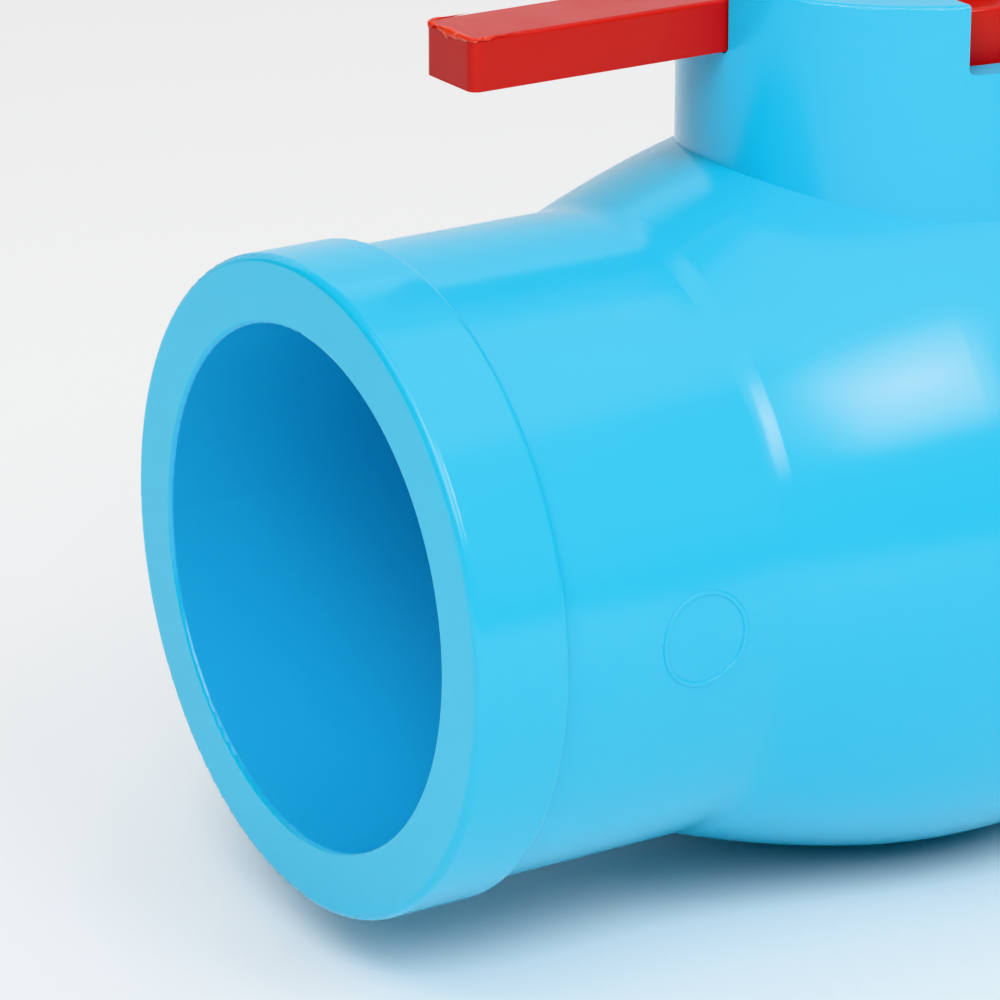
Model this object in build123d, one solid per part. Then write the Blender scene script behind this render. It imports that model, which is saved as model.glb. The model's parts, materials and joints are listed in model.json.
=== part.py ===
from build123d import *
from math import sqrt
import os

# Solvent-socket ball valve for 60 mm (2 inch) PVC pipe, in millimetres.
# Origin: centre of the left socket's mouth. +X runs along the pipe axis, +Z along the stem.
# Rest pose: valve open, handle on its open stop.

# ---- driving dimensions of the two blue mouldings ----
PIPE_RADIUS = 30.0
SOCKET_CLEARANCE = 0.15
FACE_TO_FACE = 162.0
SOCKET_DEPTH = 40.0
SOCKET_EDGE = 0.5
COLLAR_RADIUS = 38.0
COLLAR_WIDTH = 11.8
COLLAR_FRONT_EDGE = 1.0
COLLAR_REAR_EDGE = 0.9
BARREL_RADIUS = 36.7
STEP_FILLET = 0.4
BELLY_RADIUS = 45.2
BELLY_ARC_RADIUS = 76.8
BELLY_ARC_HALF = 15.0
SHOULDER_ARC_RADIUS = 148.0
BELLY_FILLET = 8.0
NECK_RADIUS = 25.8
NECK_TOP = 62.5
NECK_EDGE = 0.4
CUP_RADIUS = 21.8
CUP_FLOOR = 51.0
NOTCH_FLOOR = 54.4
NOTCH_FILLET = 0.8

# ---- driving dimensions of the ball and the handle ----
BALL_RADIUS = 34.5
BALL_BORE_RADIUS = 23.0
BALL_BORE_EDGE = 0.8
CAVITY_RADIUS = 36.0
WATERWAY_RADIUS = 24.0
STEM_RADIUS = 10.4
ARM_OFFSET = 2.8
ARM_WIDTH = 10.1
ARM_HEIGHT = 6.1
ARM_BOTTOM = 54.7
ARM_REACH = 59.5
ARM_CORNER = 1.2
HANDLE_EDGE = 0.5
HANDLE_TRAVEL = 90.0

# ---- fits, room for cutting shapes, and how closely an edge has to match a size ----
RUNNING_GAP = 0.06
SLIDE_GAP = 0.1
HANDLE_GAP = 0.3
CUTTER_SPARE = 5.0
MATCH = 0.01

# ---- housing joint, seats and their pockets: distances along the pipe from the valve's centre ----
JOINT_HALF = 28.0
JOINT_CHAMFER = 0.35
SPIGOT_HALF = 22.0
SPIGOT_RADIUS = 35.94
CAVITY_HALF = 24.0
POCKET_HALF = 31.0
POCKET_RADIUS = 31.4
SEAT_BACK_HALF = 28.7
SEAT_NOSE_HALF = 19.0
SEAT_NOSE_RADIUS = 28.8
SEAT_OUTER_HALF = 20.6
SEAT_OUTER_RADIUS = 31.3
SEAT_INNER_RADIUS = 23.6
CUSHION_RADIUS = 27.4
SEAL_GROOVE_HALF = 25.0
SEAL_GROOVE_WIDTH = 2.8
SEAL_RING_SECTION = 1.05

# ---- stem stack: heights above the pipe axis ----
TONGUE_BOTTOM = 29.4
TONGUE_LENGTH = 20.0
TONGUE_WIDTH = 7.0
SLOT_BOTTOM = 28.9
FLANGE_BOTTOM = 36.3
FLANGE_TOP = 40.4
FLANGE_RADIUS = 13.5
FLANGE_POCKET_RADIUS = 13.8
BEARING_TOP = 41.9
STEM_SHOULDER = 51.5
RING_HEIGHTS = {"lower": 44.4, "upper": 48.0}
RING_GROOVE_WIDTH = 2.4
RING_SECTION = 1.0
HEAD_TOP = 57.0
HEAD_WIDTH = 13.6
HEAD_CORNER = 1.2

# ---- handle hub, screw and cap: heights above the pipe axis ----
HUB_BOTTOM = 51.6
HUB_RADIUS = 21.3
HUB_CORNER = 0.4
HUB_RIM = 2.4
HUB_CORE_RADIUS = 13.0
HUB_CORE_TOP = 57.2
HUB_RIB = 2.4
BOSS_RADIUS = 12.5
BOSS_TOP = 65.0
WEB_BOTTOM = 57.2
WEB_TOP = 58.8
RECESS_RADIUS = 9.4
SCREW_RADIUS = 2.9
SCREW_HOLE_RADIUS = 3.3
SCREW_HOLE_BOTTOM = 42.0
SCREW_BOTTOM = 43.0
SCREW_HEAD_RADIUS = 5.2
SCREW_HEAD_HEIGHT = 3.0
SCREW_HEAD_EDGE = 1.0
DRIVE_SIDES = 6
DRIVE_RADIUS = 2.9
DRIVE_DEPTH = 1.8
WASHER_RADIUS = 7.0
WASHER_THICKNESS = 1.2
CAP_BOTTOM = 63.3
CAP_SKIRT_RADIUS = 7.6
CAP_SKIRT_BOTTOM = 60.4

# ---- thin raised ring, rounded over, that an ejector pin left on each moulding's front ----
PIN_MARK_X = 30.0
PIN_MARK_RADIUS = 5.6
PIN_MARK_WIDTH = 0.6
PIN_MARK_HEIGHT = 0.2
PIN_MARK_EDGE = 0.18

# ---- worked-out sizes ----
SOCKET_RADIUS = PIPE_RADIUS + SOCKET_CLEARANCE
CENTRE_X = FACE_TO_FACE / 2
JOINT_X = CENTRE_X + JOINT_HALF
STEM_BORE_RADIUS = STEM_RADIUS + RUNNING_GAP
RING_GROOVE_RADIUS = STEM_RADIUS - 2 * RING_SECTION
ARM_ANGLES = (180.0, 0.0)
SCREW_HEAD_BOTTOM = WEB_TOP + WASHER_THICKNESS


# ---- helpers ----
def pipe_cylinder(radius, start, end):
    """Cylinder on the pipe axis between two distances from the left face."""
    return Pos(start, 0, 0) * (Plane.YZ * extrude(Circle(radius), end - start))


def stem_cylinder(radius, bottom, top):
    """Cylinder on the stem axis between two heights."""
    return Pos(CENTRE_X, 0, bottom) * extrude(Circle(radius), top - bottom)


def turned(outline):
    """Outline of (distance along the pipe, radius) points, turned about the pipe axis."""
    return revolve(make_face(Polyline(*outline, close=True)), Axis.X)


def ring_on_pipe(centre_radius, section, along):
    """Round rubber ring about the pipe axis."""
    return Pos(along, 0, 0) * Rot(0, 90, 0) * Torus(centre_radius, section)


def ring_on_stem(centre_radius, section, height):
    """Round rubber ring about the stem axis."""
    return Pos(CENTRE_X, 0, height) * Torus(centre_radius, section)


def mirrored(shape):
    """The same shape on the other side of the stem."""
    return mirror(shape, about=Plane.YZ.offset(CENTRE_X))


def circles_at(shape, along, radius):
    """Circular edges about the pipe axis at this distance and radius."""
    found = []
    for edge in shape.edges().filter_by(GeomType.CIRCLE):
        if abs(edge.arc_center.X - along) < MATCH and abs(edge.radius - radius) < MATCH:
            found.append(edge)
    return found


def round_corner(profile, along, radius, fillet_radius):
    """Round the corner of a flat profile that lies at this distance and radius."""
    corner = profile.vertices().sort_by_distance((along, radius, 0))[0]
    return fillet([corner], fillet_radius)


# ---- outer form of the valve ----
def outer_half():
    """Collar, barrel and half of the belly, from the left face to the valve's centre."""
    crown_centre = BELLY_RADIUS - BELLY_ARC_RADIUS
    crown_height = sqrt(BELLY_ARC_RADIUS ** 2 - BELLY_ARC_HALF ** 2)
    shoulder_ratio = SHOULDER_ARC_RADIUS / BELLY_ARC_RADIUS
    crown_end = (CENTRE_X - BELLY_ARC_HALF, crown_centre + crown_height)
    shoulder_x = crown_end[0] + shoulder_ratio * BELLY_ARC_HALF
    shoulder_centre = crown_end[1] - shoulder_ratio * crown_height
    shoulder_run = sqrt(SHOULDER_ARC_RADIUS ** 2 - (BARREL_RADIUS - shoulder_centre) ** 2)
    barrel_end = (shoulder_x - shoulder_run, BARREL_RADIUS)
    sides = Polyline(
        barrel_end,
        (COLLAR_WIDTH, BARREL_RADIUS),
        (COLLAR_WIDTH, COLLAR_RADIUS),
        (0, COLLAR_RADIUS),
        (0, 0),
        (CENTRE_X, 0),
        (CENTRE_X, BELLY_RADIUS),
    )
    crown = RadiusArc((CENTRE_X, BELLY_RADIUS), crown_end, -BELLY_ARC_RADIUS)
    shoulder = RadiusArc(crown_end, barrel_end, -SHOULDER_ARC_RADIUS)
    profile = make_face(sides.edges() + crown.edges() + shoulder.edges())
    profile = round_corner(profile, *barrel_end, BELLY_FILLET)
    profile = round_corner(profile, COLLAR_WIDTH, BARREL_RADIUS, STEP_FILLET)
    profile = round_corner(profile, COLLAR_WIDTH, COLLAR_RADIUS, COLLAR_REAR_EDGE)
    profile = round_corner(profile, 0, COLLAR_RADIUS, COLLAR_FRONT_EDGE)
    return revolve(profile, Axis.X)


def outer_between(start, end):
    """Stretch of the valve's outer form between two distances from the left face."""
    whole = outer_half() + mirrored(outer_half())
    return whole & pipe_cylinder(2 * BELLY_RADIUS, start, end)


def pin_mark(along):
    """Thin raised ring that an ejector pin left on the barrel's front."""
    rim = Circle(PIN_MARK_RADIUS) - Circle(PIN_MARK_RADIUS - PIN_MARK_WIDTH)
    tube = Pos(along, 0, 0) * Rot(90, 0, 0) * extrude(rim, COLLAR_RADIUS)
    skin = pipe_cylinder(BARREL_RADIUS + PIN_MARK_HEIGHT, 0, FACE_TO_FACE)
    skin -= pipe_cylinder(BARREL_RADIUS - PIN_MARK_HEIGHT, 0, FACE_TO_FACE)
    ring = tube & skin
    crest = ring.faces().sort_by(Axis.Y)[0]
    return fillet(crest.edges(), PIN_MARK_EDGE)


# ---- notches in the neck ----
def notch(open_angle):
    """Space that one arm sweeps through the neck's wall, with rounded corners along its two stops."""
    near_side = ARM_WIDTH / 2 - ARM_OFFSET + HANDLE_GAP
    far_side = ARM_WIDTH / 2 + ARM_OFFSET + HANDLE_GAP
    reach = NECK_RADIUS + CUTTER_SPARE
    height = NECK_TOP + CUTTER_SPARE - NOTCH_FLOOR
    middle = Pos((reach - far_side) / 2, (near_side - reach) / 2)
    space = extrude(middle * Rectangle(reach + far_side, reach + near_side), height)
    floor_edges = space.edges().group_by(Axis.Z)[0]
    open_stop = floor_edges.sort_by(Axis.Y)[-1]
    closed_stop = floor_edges.sort_by(Axis.X)[0]
    space = fillet([open_stop, closed_stop], NOTCH_FILLET)
    return Pos(CENTRE_X, 0, NOTCH_FLOOR) * Rot(0, 0, open_angle) * space


# ---- the two blue mouldings ----
def valve_body():
    """Left socket, belly and neck in one moulding, open to the right for the end connector."""
    body = outer_between(0, JOINT_X)
    body = chamfer(body.edges().group_by(Axis.X)[-1], JOINT_CHAMFER)
    body += stem_cylinder(NECK_RADIUS, 0, NECK_TOP)
    body -= turned(
        [
            (0, 0),
            (0, SOCKET_RADIUS),
            (SOCKET_DEPTH, SOCKET_RADIUS),
            (SOCKET_DEPTH, WATERWAY_RADIUS),
            (CENTRE_X - POCKET_HALF, WATERWAY_RADIUS),
            (CENTRE_X - POCKET_HALF, POCKET_RADIUS),
            (CENTRE_X - CAVITY_HALF, POCKET_RADIUS),
            (CENTRE_X - CAVITY_HALF, CAVITY_RADIUS),
            (JOINT_X, CAVITY_RADIUS),
            (JOINT_X, 0),
        ]
    )
    body -= stem_cylinder(CUP_RADIUS, CUP_FLOOR, NECK_TOP)
    body -= stem_cylinder(STEM_BORE_RADIUS, 0, CUP_FLOOR)
    body -= stem_cylinder(FLANGE_POCKET_RADIUS, 0, BEARING_TOP)
    body = fillet(circles_at(body, 0, SOCKET_RADIUS), SOCKET_EDGE)
    rim = body.edges().group_by(Axis.Z)[-1]
    body = fillet(rim, NECK_EDGE)
    for angle in ARM_ANGLES:
        body -= notch(angle)
    return body + pin_mark(PIN_MARK_X)


def end_connector():
    """Right socket with the spigot that closes the housing and holds the right seat."""
    connector = outer_between(JOINT_X, FACE_TO_FACE)
    connector = chamfer(connector.edges().group_by(Axis.X)[0], JOINT_CHAMFER)
    connector += pipe_cylinder(SPIGOT_RADIUS, CENTRE_X + SPIGOT_HALF, JOINT_X + JOINT_CHAMFER)
    connector -= turned(
        [
            (CENTRE_X + SPIGOT_HALF, 0),
            (CENTRE_X + SPIGOT_HALF, POCKET_RADIUS),
            (CENTRE_X + POCKET_HALF, POCKET_RADIUS),
            (CENTRE_X + POCKET_HALF, WATERWAY_RADIUS),
            (FACE_TO_FACE - SOCKET_DEPTH, WATERWAY_RADIUS),
            (FACE_TO_FACE - SOCKET_DEPTH, SOCKET_RADIUS),
            (FACE_TO_FACE, SOCKET_RADIUS),
            (FACE_TO_FACE, 0),
        ]
    )
    groove_start = CENTRE_X + SEAL_GROOVE_HALF - SEAL_GROOVE_WIDTH / 2
    groove_end = groove_start + SEAL_GROOVE_WIDTH
    groove_floor = CAVITY_RADIUS - 2 * SEAL_RING_SECTION
    connector -= pipe_cylinder(CAVITY_RADIUS, groove_start, groove_end) - pipe_cylinder(
        groove_floor, groove_start, groove_end
    )
    connector = fillet(circles_at(connector, FACE_TO_FACE, SOCKET_RADIUS), SOCKET_EDGE)
    return connector + pin_mark(FACE_TO_FACE - PIN_MARK_X)


# ---- ball and seats ----
def ball():
    """Ball with the waterway along the pipe and a slot across its top for the stem's tongue."""
    solid = Pos(CENTRE_X, 0, 0) * Sphere(BALL_RADIUS)
    solid -= pipe_cylinder(BALL_BORE_RADIUS, 0, FACE_TO_FACE)
    solid = fillet(solid.edges().filter_by(GeomType.CIRCLE), BALL_BORE_EDGE)
    slot_width = TONGUE_WIDTH + 2 * SLIDE_GAP
    slot = Rectangle(slot_width, 2 * BALL_RADIUS)
    return solid - Pos(CENTRE_X, 0, SLOT_BOTTOM) * extrude(slot, BALL_RADIUS - SLOT_BOTTOM)


def seat_left():
    """Seat ring whose front is ground to the ball."""
    ring = turned(
        [
            (CENTRE_X - SEAT_BACK_HALF, SEAT_INNER_RADIUS),
            (CENTRE_X - SEAT_BACK_HALF, SEAT_OUTER_RADIUS),
            (CENTRE_X - SEAT_OUTER_HALF, SEAT_OUTER_RADIUS),
            (CENTRE_X - SEAT_NOSE_HALF, SEAT_NOSE_RADIUS),
            (CENTRE_X - SEAT_NOSE_HALF, SEAT_INNER_RADIUS),
        ]
    )
    return ring - Pos(CENTRE_X, 0, 0) * Sphere(BALL_RADIUS + RUNNING_GAP)


def seat_cushion_left():
    """Rubber ring between the left seat and its pocket's floor."""
    section = (POCKET_HALF - SEAT_BACK_HALF) / 2
    return ring_on_pipe(CUSHION_RADIUS, section, CENTRE_X - SEAT_BACK_HALF - section)


def body_seal_ring():
    """Rubber ring in the spigot's groove."""
    centre_radius = CAVITY_RADIUS - SEAL_RING_SECTION
    return ring_on_pipe(centre_radius, SEAL_RING_SECTION, CENTRE_X + SEAL_GROOVE_HALF)


# ---- stem ----
def stem():
    """Tongue, blow-out flange, grooved shaft and square head."""
    blade = Rectangle(TONGUE_WIDTH, TONGUE_LENGTH)
    solid = Pos(CENTRE_X, 0, TONGUE_BOTTOM) * extrude(blade, FLANGE_TOP - TONGUE_BOTTOM)
    solid += stem_cylinder(FLANGE_RADIUS, FLANGE_BOTTOM, FLANGE_TOP)
    solid += stem_cylinder(STEM_RADIUS, FLANGE_TOP, STEM_SHOULDER)
    for height in RING_HEIGHTS.values():
        low = height - RING_GROOVE_WIDTH / 2
        high = height + RING_GROOVE_WIDTH / 2
        solid -= stem_cylinder(STEM_RADIUS, low, high) - stem_cylinder(RING_GROOVE_RADIUS, low, high)
    head = RectangleRounded(HEAD_WIDTH, HEAD_WIDTH, HEAD_CORNER)
    solid += Pos(CENTRE_X, 0, STEM_SHOULDER) * extrude(head, HEAD_TOP - STEM_SHOULDER)
    return solid - stem_cylinder(SCREW_RADIUS + SLIDE_GAP / 2, SCREW_HOLE_BOTTOM, HEAD_TOP)


def stem_bearing():
    """Thrust washer between the stem's flange and the housing."""
    bottom = FLANGE_TOP + RUNNING_GAP
    outer = stem_cylinder(FLANGE_POCKET_RADIUS - SLIDE_GAP, bottom, BEARING_TOP)
    return outer - stem_cylinder(STEM_BORE_RADIUS, bottom, BEARING_TOP)


# ---- handle ----
def handle():
    """T-handle: hub in the neck's cup, two staggered arms through the notches, boss round the screw."""
    arm = Pos(ARM_REACH / 2, -ARM_OFFSET) * Rectangle(ARM_REACH, ARM_WIDTH)
    arm = fillet(arm.vertices(), ARM_CORNER)
    plan = Circle(HUB_RADIUS)
    for angle in ARM_ANGLES:
        plan += Rot(0, 0, angle) * arm
    roots = [v for v in plan.vertices() if abs(v.center().length - HUB_RADIUS) < MATCH]
    plan = fillet(roots, HUB_CORNER)
    solid = Pos(CENTRE_X, 0, ARM_BOTTOM) * extrude(plan, ARM_HEIGHT)
    solid = fillet(solid.edges().group_by(Axis.Z)[-1], HANDLE_EDGE)
    solid += stem_cylinder(HUB_RADIUS, HUB_BOTTOM, ARM_BOTTOM)
    solid += stem_cylinder(BOSS_RADIUS, ARM_BOTTOM, BOSS_TOP)
    solid = fillet(solid.edges().group_by(Axis.Z)[-1], HANDLE_EDGE)
    solid -= stem_cylinder(RECESS_RADIUS, WEB_TOP, BOSS_TOP)
    solid -= stem_cylinder(SCREW_HOLE_RADIUS, WEB_BOTTOM, WEB_TOP)
    core = stem_cylinder(HUB_RADIUS - HUB_RIM, HUB_BOTTOM, HUB_CORE_TOP)
    core -= stem_cylinder(HUB_CORE_RADIUS, HUB_BOTTOM, HUB_CORE_TOP)
    for angle in (0, HANDLE_TRAVEL):
        rib = Rot(0, 0, angle) * Rectangle(2 * HUB_RADIUS, HUB_RIB)
        core -= Pos(CENTRE_X, 0, HUB_BOTTOM) * extrude(rib, HUB_CORE_TOP - HUB_BOTTOM)
    solid -= core
    socket_width = HEAD_WIDTH + 2 * SLIDE_GAP
    socket = RectangleRounded(socket_width, socket_width, HEAD_CORNER)
    return solid - Pos(CENTRE_X, 0, HUB_BOTTOM) * extrude(socket, WEB_BOTTOM - HUB_BOTTOM)


def screw_washer():
    """Flat washer under the screw's head."""
    disc = stem_cylinder(WASHER_RADIUS, WEB_TOP, SCREW_HEAD_BOTTOM)
    return disc - stem_cylinder(SCREW_HOLE_RADIUS, WEB_TOP, SCREW_HEAD_BOTTOM)


def handle_screw():
    """Hexagon-socket screw that holds the handle on the stem."""
    head_top = SCREW_HEAD_BOTTOM + SCREW_HEAD_HEIGHT
    head = stem_cylinder(SCREW_HEAD_RADIUS, SCREW_HEAD_BOTTOM, head_top)
    head = fillet(head.edges().group_by(Axis.Z)[-1], SCREW_HEAD_EDGE)
    solid = head + stem_cylinder(SCREW_RADIUS, SCREW_BOTTOM, SCREW_HEAD_BOTTOM)
    hexagon = RegularPolygon(DRIVE_RADIUS, DRIVE_SIDES)
    drive = Pos(CENTRE_X, 0, head_top - DRIVE_DEPTH) * extrude(hexagon, DRIVE_DEPTH)
    return solid - drive


def handle_cap():
    """Cap that snaps into the boss over the screw."""
    radius = RECESS_RADIUS - SLIDE_GAP
    cap = stem_cylinder(radius, CAP_SKIRT_BOTTOM, BOSS_TOP)
    cap = fillet(cap.edges().group_by(Axis.Z)[-1], HANDLE_EDGE)
    return cap - stem_cylinder(CAP_SKIRT_RADIUS, CAP_SKIRT_BOTTOM, CAP_BOTTOM)


# ---- every node of the valve ----
nodes = {
    "valve_body": valve_body(),
    "end_connector": end_connector(),
    "ball": ball(),
    "seat_left": seat_left(),
    "seat_right": mirrored(seat_left()),
    "seat_cushion_left": seat_cushion_left(),
    "seat_cushion_right": mirrored(seat_cushion_left()),
    "body_seal_ring": body_seal_ring(),
    "stem": stem(),
    "stem_bearing": stem_bearing(),
    "handle": handle(),
    "screw_washer": screw_washer(),
    "handle_screw": handle_screw(),
    "handle_cap": handle_cap(),
}
for name, height in RING_HEIGHTS.items():
    nodes["stem_ring_" + name] = ring_on_stem(RING_GROOVE_RADIUS + RING_SECTION, RING_SECTION, height)

os.makedirs("parts", exist_ok=True)
for name, shape in nodes.items():
    export_step(shape, "parts/" + name + ".step")
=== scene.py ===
import json
import math
import random

import bmesh
import bpy
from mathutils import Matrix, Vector


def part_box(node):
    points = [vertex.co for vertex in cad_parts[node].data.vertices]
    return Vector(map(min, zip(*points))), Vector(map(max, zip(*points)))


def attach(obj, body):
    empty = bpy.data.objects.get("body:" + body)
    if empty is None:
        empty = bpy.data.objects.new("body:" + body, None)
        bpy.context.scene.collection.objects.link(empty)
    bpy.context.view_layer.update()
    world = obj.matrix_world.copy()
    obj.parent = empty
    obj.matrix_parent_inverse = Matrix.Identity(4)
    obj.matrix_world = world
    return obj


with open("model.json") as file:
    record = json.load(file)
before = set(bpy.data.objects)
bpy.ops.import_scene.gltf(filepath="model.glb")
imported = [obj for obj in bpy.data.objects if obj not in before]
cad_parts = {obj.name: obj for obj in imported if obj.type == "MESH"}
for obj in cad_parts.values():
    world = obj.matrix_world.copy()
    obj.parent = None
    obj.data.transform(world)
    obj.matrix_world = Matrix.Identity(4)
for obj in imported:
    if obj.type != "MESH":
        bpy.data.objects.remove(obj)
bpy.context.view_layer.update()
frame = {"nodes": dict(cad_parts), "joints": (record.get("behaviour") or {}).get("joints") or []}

MM = 0.001

# ---- places taken from the frame ----
joints = {joint["name"]: joint for joint in frame["joints"]}
stem_x = joints["handle_turn"]["pos_m"][0]
handle_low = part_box("handle")[0]
floor_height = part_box("valve_body")[0].z

# ---- camera ----
CAMERA_AZIMUTH = -32.09
CAMERA_ELEVATION = 20.0
CAMERA_PLACE = (-0.2639, -0.4631, 0.2045)
CAMERA_LENS = 183.7
SENSOR_WIDTH = 36.0
CAMERA_NEAR = 0.01
CAMERA_FAR = 50.0


def make_camera():
    """Long-lens camera to the left front of the valve, aimed at its left half."""
    data = bpy.data.cameras.new("camera")
    data.lens = CAMERA_LENS
    data.sensor_width = SENSOR_WIDTH
    data.clip_start = CAMERA_NEAR
    data.clip_end = CAMERA_FAR
    camera = bpy.data.objects.new("camera", data)
    camera.location = CAMERA_PLACE
    tilt = math.radians(90 - CAMERA_ELEVATION)
    camera.rotation_euler = (tilt, 0, math.radians(CAMERA_AZIMUTH))
    bpy.context.scene.collection.objects.link(camera)
    bpy.context.scene.camera = camera


# ---- lights and floor ----
def direction(azimuth, elevation):
    """Unit vector towards a place in the room. Azimuth 0 is in front of the valve, 90 on its right."""
    a = math.radians(azimuth)
    e = math.radians(elevation)
    return Vector((math.sin(a) * math.cos(e), -math.cos(a) * math.cos(e), math.sin(e)))


def softbox(name, azimuth, elevation, distance, width, height, radiance):
    """Rectangular studio light that faces the valve."""
    data = bpy.data.lights.new(name, "AREA")
    data.shape = "RECTANGLE"
    data.size = width
    data.size_y = height
    data.energy = math.pi * width * height * radiance
    light = bpy.data.objects.new(name, data)
    towards = direction(azimuth, elevation)
    light.location = Vector((stem_x, 0, 0)) + towards * distance
    light.rotation_euler = towards.to_track_quat("Z", "Y").to_euler()
    bpy.context.scene.collection.objects.link(light)


# name, azimuth and elevation in degrees, distance, width and height in metres, radiance
LIGHTS = (
    ("key_light", 7.0, 42.5, 1.2, 0.40, 0.62, 5.2),
    ("key_core_light", 6.6, 42.3, 1.19, 0.30, 0.38, 5.4),
    ("key_lamp_light", 7.5, 43.5, 1.18, 0.20, 0.12, 6.8),
    ("ceiling_light", 55, 73, 1.3, 1.3, 1.1, 1.4),
    ("left_high_light", -85, 58, 1.3, 0.8, 0.8, 1.9),
    ("left_low_light", -85, 22, 1.3, 0.8, 0.6, 0.16),
    ("front_left_light", -49, 40, 1.3, 0.8, 0.8, 5.3),
    ("front_right_light", 34, 14, 1.3, 0.7, 0.45, 0.48),
    ("right_fill_light", 42, 38, 1.3, 0.9, 0.7, 0.30),
    ("back_light", 158, 14, 1.6, 3.2, 2.0, 0.8),
    ("back_high_light", 140, 51, 1.4, 1.3, 0.60, 0.55),
)
WORLD_STRENGTH = 0.07
FLOOR_SIZE = 20.0
FLOOR_CELLS = 8
FLOOR_COLOUR = (0.92, 0.92, 0.92, 1.0)
FLOOR_ROUGHNESS = 0.9
FLOOR_SPECULAR = 0.1


def make_room():
    """Dim white world, softboxes and a plain pale floor that the valve rests on."""
    world = bpy.data.worlds.new("room")
    bpy.context.scene.world = world
    world.use_nodes = True
    background = world.node_tree.nodes["Background"]
    background.inputs["Color"].default_value = (1.0, 1.0, 1.0, 1.0)
    background.inputs["Strength"].default_value = WORLD_STRENGTH
    for light in LIGHTS:
        softbox(*light)
    bpy.ops.mesh.primitive_grid_add(x_subdivisions=FLOOR_CELLS, y_subdivisions=FLOOR_CELLS, size=FLOOR_SIZE)
    floor = bpy.context.object
    floor.name = "floor"
    floor.location.z = floor_height
    material = bpy.data.materials.new("pale_floor")
    material.use_nodes = True
    shader = material.node_tree.nodes["Principled BSDF"]
    shader.inputs["Base Color"].default_value = FLOOR_COLOUR
    shader.inputs["Roughness"].default_value = FLOOR_ROUGHNESS
    shader.inputs["Specular IOR Level"].default_value = FLOOR_SPECULAR
    floor.data.materials.append(material)


# ---- material building blocks ----
NOISE_LOW = 0.3
NOISE_HIGH = 0.7
SPECK_CORE = 0.7


class Paint:
    """A Principled material that is put together from a few named layers."""

    def __init__(self, name):
        self.material = bpy.data.materials.new(name)
        self.material.use_nodes = True
        self.tree = self.material.node_tree
        self.shader = self.tree.nodes["Principled BSDF"]
        self.place = self.node("ShaderNodeTexCoord").outputs["Object"]

    def node(self, kind, **settings):
        made = self.tree.nodes.new(kind)
        for key, value in settings.items():
            setattr(made, key, value)
        return made

    def link(self, source, target):
        self.tree.links.new(source, target)

    def noise(self, scale, detail, stretch=(1, 1, 1)):
        """Noise from 0 to 1, with features of about 1/scale metres."""
        mapping = self.node("ShaderNodeMapping")
        mapping.inputs["Scale"].default_value = stretch
        self.link(self.place, mapping.inputs["Vector"])
        made = self.node("ShaderNodeTexNoise")
        made.inputs["Scale"].default_value = scale
        made.inputs["Detail"].default_value = detail
        self.link(mapping.outputs["Vector"], made.inputs["Vector"])
        return made.outputs["Fac"]

    def spread(self, value, low, high, start=0.0, end=1.0):
        """Stretch a value from the range low..high to start..end."""
        made = self.node("ShaderNodeMapRange")
        made.inputs["From Min"].default_value = low
        made.inputs["From Max"].default_value = high
        made.inputs["To Min"].default_value = start
        made.inputs["To Max"].default_value = end
        self.link(value, made.inputs["Value"])
        return made.outputs["Result"]

    def maths(self, operation, first, second):
        made = self.node("ShaderNodeMath", operation=operation)
        for socket, value in zip(made.inputs, (first, second)):
            if isinstance(value, (int, float)):
                socket.default_value = value
            else:
                self.link(value, socket)
        return made.outputs["Value"]

    def mix(self, factor, first, second):
        """Blend two colours, each a tuple or another layer."""
        made = self.node("ShaderNodeMix", data_type="RGBA")
        self.link(factor, made.inputs["Factor"])
        for socket, value in ((made.inputs["A"], first), (made.inputs["B"], second)):
            if isinstance(value, tuple):
                socket.default_value = (*value, 1.0)
            else:
                self.link(value, socket)
        return made.outputs["Result"]

    def specks(self, scale, size, share):
        """Scattered round specks: 1 inside a speck, 0 outside. Only a share of the cells has one."""
        cells = self.node("ShaderNodeTexVoronoi")
        cells.inputs["Scale"].default_value = scale
        self.link(self.place, cells.inputs["Vector"])
        inside = self.spread(cells.outputs["Distance"], size, size * SPECK_CORE)
        chosen = self.maths("GREATER_THAN", self.red_of(cells.outputs["Color"]), 1.0 - share)
        return self.maths("MULTIPLY", inside, chosen)

    def from_axis(self):
        """Distance from the pipe's axis, in metres."""
        flat = self.node("ShaderNodeVectorMath", operation="MULTIPLY")
        flat.inputs[1].default_value = (0, 1, 1)
        self.link(self.place, flat.inputs[0])
        made = self.node("ShaderNodeVectorMath", operation="LENGTH")
        self.link(flat.outputs["Vector"], made.inputs[0])
        return made.outputs["Value"]

    def red_of(self, colour):
        made = self.node("ShaderNodeSeparateColor")
        self.link(colour, made.inputs["Color"])
        return made.outputs["Red"]

    def colour(self, source):
        self.link(source, self.shader.inputs["Base Color"])

    def set(self, name, value):
        self.shader.inputs[name].default_value = value

    def uneven(self, scale, detail, start, end, stretch=(1, 1, 1)):
        """Noise that wanders between two values."""
        return self.spread(self.noise(scale, detail, stretch), NOISE_LOW, NOISE_HIGH, start, end)

    def roughness(self, source):
        self.link(source, self.shader.inputs["Roughness"])

    def relief(self, source, height):
        """Bump of this height in metres."""
        made = self.node("ShaderNodeBump")
        made.inputs["Strength"].default_value = 1.0
        made.inputs["Distance"].default_value = height
        self.link(source, made.inputs["Height"])
        self.link(made.outputs["Normal"], self.shader.inputs["Normal"])


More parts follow.
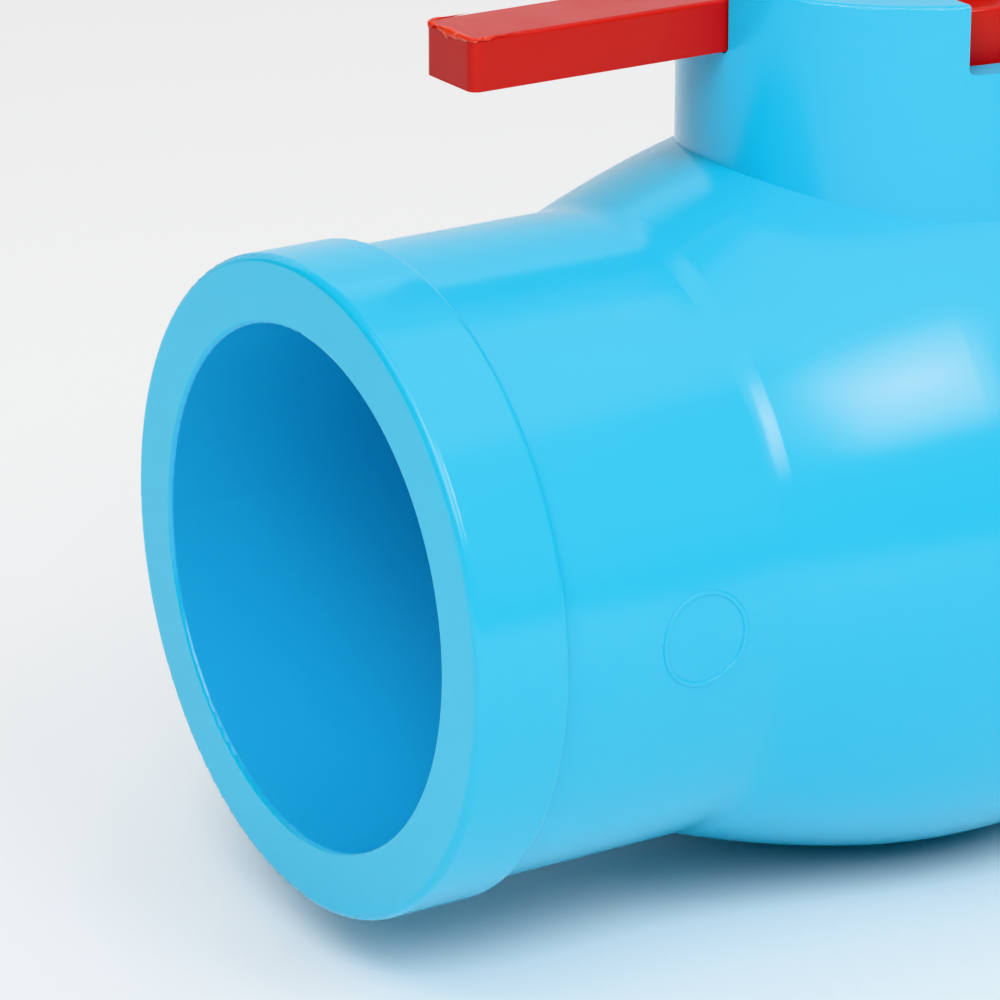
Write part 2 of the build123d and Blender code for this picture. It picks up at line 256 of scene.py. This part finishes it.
# ---- materials: colours are linear red, green and blue, and noise scales are per metre ----
PVC_IOR = 1.54
PVC_DEEP = (0.019, 0.475, 0.735)
PVC_LIGHT = (0.022, 0.495, 0.760)
PVC_MOTTLE = (0.024, 0.505, 0.770)
# painted light: the bore colour has more red and blue than the outside, standing in for bounce light in the
# shaded socket bore
PVC_BORE_PAINTED_LIGHT = (0.055, 0.465, 0.80)
PVC_DARK_SPECK = (0.01, 0.10, 0.20)
PVC_PALE_SPECK = (0.25, 0.72, 0.92)
MOTTLE_SHARE = 0.2
SOCKET_RADIUS = 30.15 * MM
BORE_FADE = 0.3 * MM
FLOW_LOW = 0.35
FLOW_HIGH = 0.65

RED_SPECULAR = 0.42
RED_DEEP = (0.42, 0.010, 0.006)
RED_LIGHT = (0.48, 0.013, 0.008)
RED_SPECK = (0.60, 0.09, 0.05)

# painted light: the flash colours are brighter orange than the moulding to stand in for light on the
# up-facing top edge, and the pale streak colour is a painted edge highlight
FLASH_SPECULAR = 0.5
FLASH_DEEP = (0.56, 0.020, 0.008)
FLASH_LIGHT = (0.74, 0.055, 0.018)
FLASH_PAINTED_HIGHLIGHT = (0.80, 0.32, 0.24)
FLASH_HIGHLIGHT_LOW = 0.60
FLASH_HIGHLIGHT_HIGH = 0.72
FLASH_HIGHLIGHT_SHARE = 0.7


def blue_pvc():
    """Glossy sky-blue moulded PVC with soft flow mottling, a few specks and a fine skin; the socket bore
    gets a painted tint that stands in for the bounce light in its shade.
    """
    paint = Paint("blue_pvc")
    paint.set("IOR", PVC_IOR)
    flow = paint.spread(paint.noise(14, 4, stretch=(1, 1.4, 1.4)), FLOW_LOW, FLOW_HIGH)
    mottle = paint.uneven(220, 2, 0.0, 1.0)
    base = paint.mix(flow, PVC_DEEP, PVC_LIGHT)
    base = paint.mix(paint.maths("MULTIPLY", mottle, MOTTLE_SHARE), base, PVC_MOTTLE)
    # painted light: inside the socket radius the colour turns to the bore tint, painted bounce light of the
    # shaded bore, not a different plastic
    bore_painted_light = paint.spread(paint.from_axis(), SOCKET_RADIUS + BORE_FADE, SOCKET_RADIUS)
    base = paint.mix(bore_painted_light, base, PVC_BORE_PAINTED_LIGHT)
    base = paint.mix(paint.specks(scale=70, size=0.014, share=0.10), base, PVC_DARK_SPECK)
    base = paint.mix(paint.specks(scale=64, size=0.02, share=0.12), base, PVC_PALE_SPECK)
    paint.colour(base)
    paint.roughness(paint.uneven(35, 3, 0.17, 0.20))
    paint.relief(paint.noise(900, 2), 0.004 * MM)
    return paint.material


def red_plastic():
    """Semi-gloss red moulded plastic with flow lines along the arms."""
    paint = Paint("red_plastic")
    paint.set("Specular IOR Level", RED_SPECULAR)
    flow = paint.uneven(60, 4, 0.0, 1.0, stretch=(0.25, 1, 1))
    base = paint.mix(flow, RED_DEEP, RED_LIGHT)
    base = paint.mix(paint.specks(scale=160, size=0.03, share=0.08), base, RED_SPECK)
    paint.colour(base)
    paint.roughness(paint.uneven(120, 4, 0.28, 0.36))
    paint.relief(paint.noise(700, 3), 0.006 * MM)
    return paint.material


def red_flash():
    """Thin torn red plastic, painted brighter orange than the moulding as painted light for its up-facing
    top edge, with pale streaks that are a painted edge highlight.
    """
    paint = Paint("red_flash")
    paint.set("Specular IOR Level", FLASH_SPECULAR)
    tone = paint.spread(paint.noise(420, 3), FLOW_LOW, FLOW_HIGH)
    base = paint.mix(tone, FLASH_DEEP, FLASH_LIGHT)
    # painted highlight: pale streaks mixed over the flash colour
    painted_highlight = paint.spread(paint.noise(1100, 3, stretch=(1, 1, 2.5)), FLASH_HIGHLIGHT_LOW, FLASH_HIGHLIGHT_HIGH)
    base = paint.mix(paint.maths("MULTIPLY", painted_highlight, FLASH_HIGHLIGHT_SHARE), base, FLASH_PAINTED_HIGHLIGHT)
    paint.colour(base)
    paint.roughness(paint.uneven(500, 3, 0.24, 0.4))
    paint.relief(paint.noise(1500, 3), 0.02 * MM)
    return paint.material


def plain_plastic(name, dark, light, rough_low, rough_high):
    """Off-white or grey plastic of the inner pieces, with a faint grain."""
    paint = Paint(name)
    paint.colour(paint.mix(paint.uneven(80, 4, 0.0, 1.0), dark, light))
    paint.roughness(paint.uneven(200, 3, rough_low, rough_high))
    paint.relief(paint.noise(500, 2), 0.02 * MM)
    return paint.material


def rubber():
    """Black rubber with a dusty bloom."""
    paint = Paint("seal_rubber")
    black, dusty = (0.012, 0.012, 0.012), (0.035, 0.035, 0.037)
    paint.colour(paint.mix(paint.noise(300, 4), black, dusty))
    paint.roughness(paint.uneven(400, 3, 0.55, 0.75))
    paint.relief(paint.noise(1500, 2), 0.02 * MM)
    return paint.material


def steel():
    """Stainless screw metal with fine marks around the screw's axis."""
    paint = Paint("screw_steel")
    paint.set("Metallic", 1.0)
    dull, bright = (0.42, 0.42, 0.43), (0.62, 0.62, 0.62)
    paint.colour(paint.mix(paint.noise(300, 3), dull, bright))
    paint.roughness(paint.uneven(900, 3, 0.22, 0.38, stretch=(1, 1, 6)))
    paint.relief(paint.noise(2500, 2, stretch=(1, 1, 5)), 0.01 * MM)
    return paint.material


def dress(material, *names):
    """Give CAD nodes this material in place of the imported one."""
    for name in names:
        mesh = frame["nodes"][name].data
        mesh.materials.clear()
        mesh.materials.append(material)


def dress_all():
    """A material for each of the CAD nodes, by what the piece is made of."""
    ball = plain_plastic("ball_plastic", (0.72, 0.74, 0.73), (0.82, 0.83, 0.82), 0.12, 0.2)
    seat = plain_plastic("seat_plastic", (0.72, 0.72, 0.70), (0.84, 0.84, 0.81), 0.35, 0.5)
    stem = plain_plastic("stem_plastic", (0.46, 0.48, 0.49), (0.6, 0.61, 0.62), 0.3, 0.45)
    seals = rubber()
    dress(blue_pvc(), "valve_body", "end_connector")
    dress(red_plastic(), "handle", "handle_cap")
    dress(ball, "ball")
    dress(seat, "seat_left", "seat_right", "stem_bearing")
    dress(stem, "stem")
    dress(seals, "seat_cushion_left", "seat_cushion_right", "body_seal_ring")
    dress(seals, "stem_ring_lower", "stem_ring_upper")
    dress(steel(), "handle_screw", "screw_washer")


# ---- moulding flash on the tip of the left arm ----
ARM_CORNER = 1.2 * MM
FLASH_REACH = 6.0 * MM
FLASH_STEPS = 150
FLASH_SEED = 7
FLASH_WAVES = 8
# waves along the edge, in radians per millimetre, and what their sum is divided by
WAVE_SLOWEST = 0.6
WAVE_FASTEST = 5.0
WAVE_DIVISOR = 3
# the flash grows from nothing at both ends: how fast, and the power that eases it in
FADE_RATE = 3
FADE_POWER = 1.5
# how far it hangs down and how thick it is: the mean, and what the waves add
DROP_MEAN = 0.62 * MM
DROP_RAGGED = 0.38 * MM
DROP_LEAST = 0.12 * MM
THICKNESS_MEAN = 0.16 * MM
THICKNESS_RAGGED = 0.05 * MM
# one cross-section: outwards as a share of the thickness, downwards as a share of the drop
FLASH_SECTION = (
    (-3.2, 0.06),
    (-3.0, -0.10),
    (-1.6, -0.24),
    (0.0, -0.20),
    (0.8, 0.02),
    (1.0, 0.40),
    (0.9, 0.80),
    (0.5, 1.00),
    (-0.4, 0.96),
    (-0.8, 0.50),
)


def arm_outline(along, half_width):
    """Point and outward direction on the left arm's plan, counted from the middle of its tip."""
    flat = half_width - ARM_CORNER
    turn = ARM_CORNER * math.pi / 2
    side = -1 if along < 0 else 1
    run = abs(along)
    if run < flat:
        place, out = (0, run), (-1, 0)
    elif run < flat + turn:
        angle = (run - flat) / ARM_CORNER
        out = (-math.cos(angle), math.sin(angle))
        place = (ARM_CORNER * (1 + out[0]), flat + ARM_CORNER * out[1])
    else:
        place, out = (ARM_CORNER + run - flat - turn, half_width), (0, 1)
    return Vector((place[0], side * place[1], 0)), Vector((out[0], side * out[1], 0))


def arm_tip():
    """Middle of the left arm's tip, at the height of its top, and half the arm's width."""
    mesh = frame["nodes"]["handle"].data
    near = [vertex.co for vertex in mesh.vertices if vertex.co.x < handle_low.x + 2 * ARM_CORNER]
    front = min(place.y for place in near)
    back = max(place.y for place in near)
    top = max(place.z for place in near)
    return Vector((handle_low.x, (front + back) / 2, top)), (back - front) / 2


def make_flash(material):
    """Ragged skin of plastic that laps over the tip's top edge and runs out along both sides."""
    chance = random.Random(FLASH_SEED)
    waves = []
    for _ in range(FLASH_WAVES):
        waves.append((chance.uniform(WAVE_SLOWEST, WAVE_FASTEST), chance.uniform(0, 2 * math.pi)))
    tip, half_width = arm_tip()
    shape = bmesh.new()
    rings = []
    for step in range(FLASH_STEPS + 1):
        share = step / FLASH_STEPS
        along = (2 * share - 1) * (half_width + FLASH_REACH)
        place, out = arm_outline(along, half_width)
        ragged = sum(math.sin(k * along / MM + phase) for k, phase in waves) / WAVE_DIVISOR
        fade = min(1.0, FADE_RATE * share, FADE_RATE * (1 - share)) ** FADE_POWER
        drop = max(DROP_LEAST, DROP_MEAN + DROP_RAGGED * ragged) * fade
        thickness = (THICKNESS_MEAN + THICKNESS_RAGGED * ragged) * fade
        ring = []
        for outwards, downwards in FLASH_SECTION:
            spot = place + out * (outwards * thickness)
            ring.append(shape.verts.new(tip + spot - Vector((0, 0, downwards * drop))))
        rings.append(ring)
    for first, second in zip(rings, rings[1:]):
        for i in range(len(first)):
            j = (i + 1) % len(first)
            shape.faces.new((first[i], first[j], second[j], second[i]))
    shape.faces.new(list(reversed(rings[0])))
    shape.faces.new(rings[-1])
    bmesh.ops.recalc_face_normals(shape, faces=shape.faces)
    for face in shape.faces:
        face.smooth = True
    mesh = bpy.data.meshes.new("lever_flash")
    shape.to_mesh(mesh)
    shape.free()
    flash = bpy.data.objects.new("lever_flash", mesh)
    bpy.context.scene.collection.objects.link(flash)
    flash.modifiers.new("smooth", "SUBSURF").render_levels = 1
    mesh.materials.append(material)
    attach(flash, "handle_and_stem")


# ---- the scene ----
bpy.context.scene.view_settings.view_transform = "Khronos PBR Neutral"
make_camera()
make_room()
dress_all()
make_flash(red_flash())
